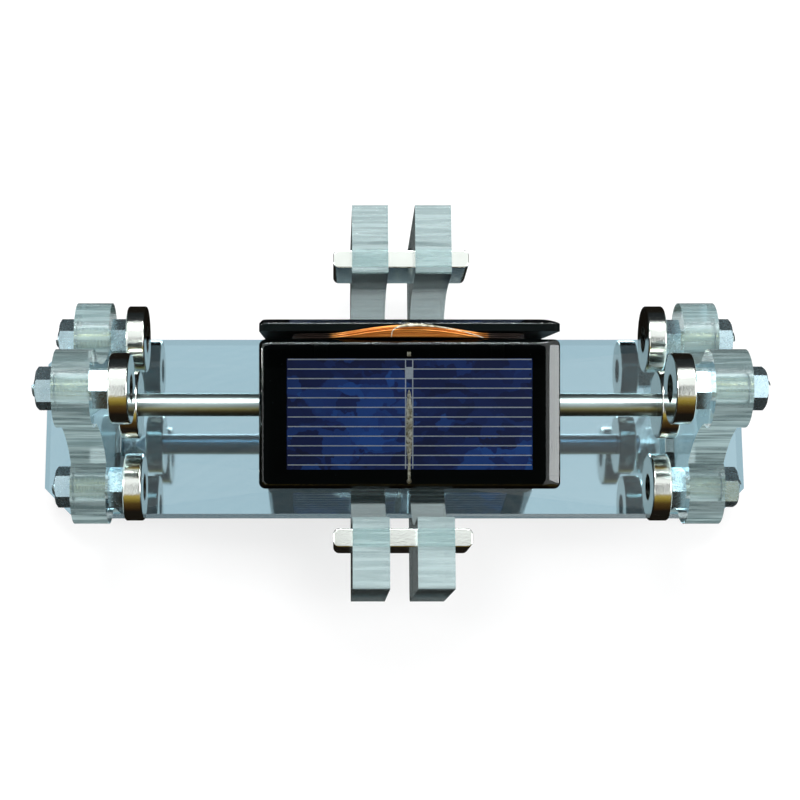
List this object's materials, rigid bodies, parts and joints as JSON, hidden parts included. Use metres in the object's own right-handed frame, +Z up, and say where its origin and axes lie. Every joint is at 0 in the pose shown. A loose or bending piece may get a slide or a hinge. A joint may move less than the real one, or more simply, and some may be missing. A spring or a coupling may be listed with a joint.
{
  "type": "demonstration electric motor",
  "caption": "Solar motor whose four-sided panel drum with copper windings turns on a shaft held between ring magnets over a clear stand.",
  "frame": {"origin": "middle of the underside of the base plate, which is the middle of the part's box seen from above", "axes": "+X along the shaft from its pointed end to its free end, +Y to the back, +Z up"},
  "size_m": [0.1638, 0.0828, 0.0657],
  "materials": {
    "plate_acrylic": "clear acrylic sheet, polished faces",
    "upright_acrylic": "clear acrylic sheet, cut edges",
    "arm_acrylic": "clear acrylic sheet, cut edges",
    "magnet_nickel": "bright nickel plating",
    "zinc_steel": "zinc-plated steel",
    "shaft_steel": "ground and polished steel rod",
    "panel_board": "black board",
    "solar_cell": "dark blue polycrystalline silicon with silver lines",
    "clear_resin": "clear domed epoxy cover",
    "drum_cheek": "plain black plastic sheet",
    "copper_winding": "enamelled copper wire"
  },
  "bodies": {
    "stand": {"back_bar_magnet": "magnet_nickel", "base_plate": "plate_acrylic", "front_bar_magnet": "magnet_nickel", "left_arm": "arm_acrylic", "left_back_nut": "zinc_steel", "left_back_ring_magnet": "magnet_nickel", "left_back_screw": "zinc_steel", "left_front_nut": "zinc_steel", "left_front_ring_magnet": "magnet_nickel", "left_front_screw": "zinc_steel", "left_top_nut": "zinc_steel", "left_top_ring_magnet": "magnet_nickel", "left_top_screw": "zinc_steel", "left_upright": "upright_acrylic", "right_arm": "arm_acrylic", "right_back_nut": "zinc_steel", "right_back_ring_magnet": "magnet_nickel", "right_back_screw": "zinc_steel", "right_front_nut": "zinc_steel", "right_front_ring_magnet": "magnet_nickel", "right_front_screw": "zinc_steel", "right_top_nut": "zinc_steel", "right_top_ring_magnet": "magnet_nickel", "right_top_screw": "zinc_steel", "right_upright": "upright_acrylic"},
    "rotor": {"back_panel_board": "panel_board", "back_panel_cell": "solar_cell", "back_panel_resin": "clear_resin", "bottom_panel_board": "panel_board", "bottom_panel_cell": "solar_cell", "bottom_panel_resin": "clear_resin", "first_winding": "copper_winding", "front_panel_board": "panel_board", "front_panel_cell": "solar_cell", "front_panel_resin": "clear_resin", "left_drum_cheek": "drum_cheek", "left_shaft_magnet": "magnet_nickel", "right_drum_cheek": "drum_cheek", "right_shaft_magnet": "magnet_nickel", "second_winding": "copper_winding", "shaft": "shaft_steel", "top_panel_board": "panel_board", "top_panel_cell": "solar_cell", "top_panel_resin": "clear_resin"}
  },
  "joints": [
    {"name": "rotor_spin", "type": "hinge", "parent": "stand", "child": "rotor", "pos_m": [0, 0, 0.038], "axis": [1, 0, 0], "continuous": true}
  ]
}
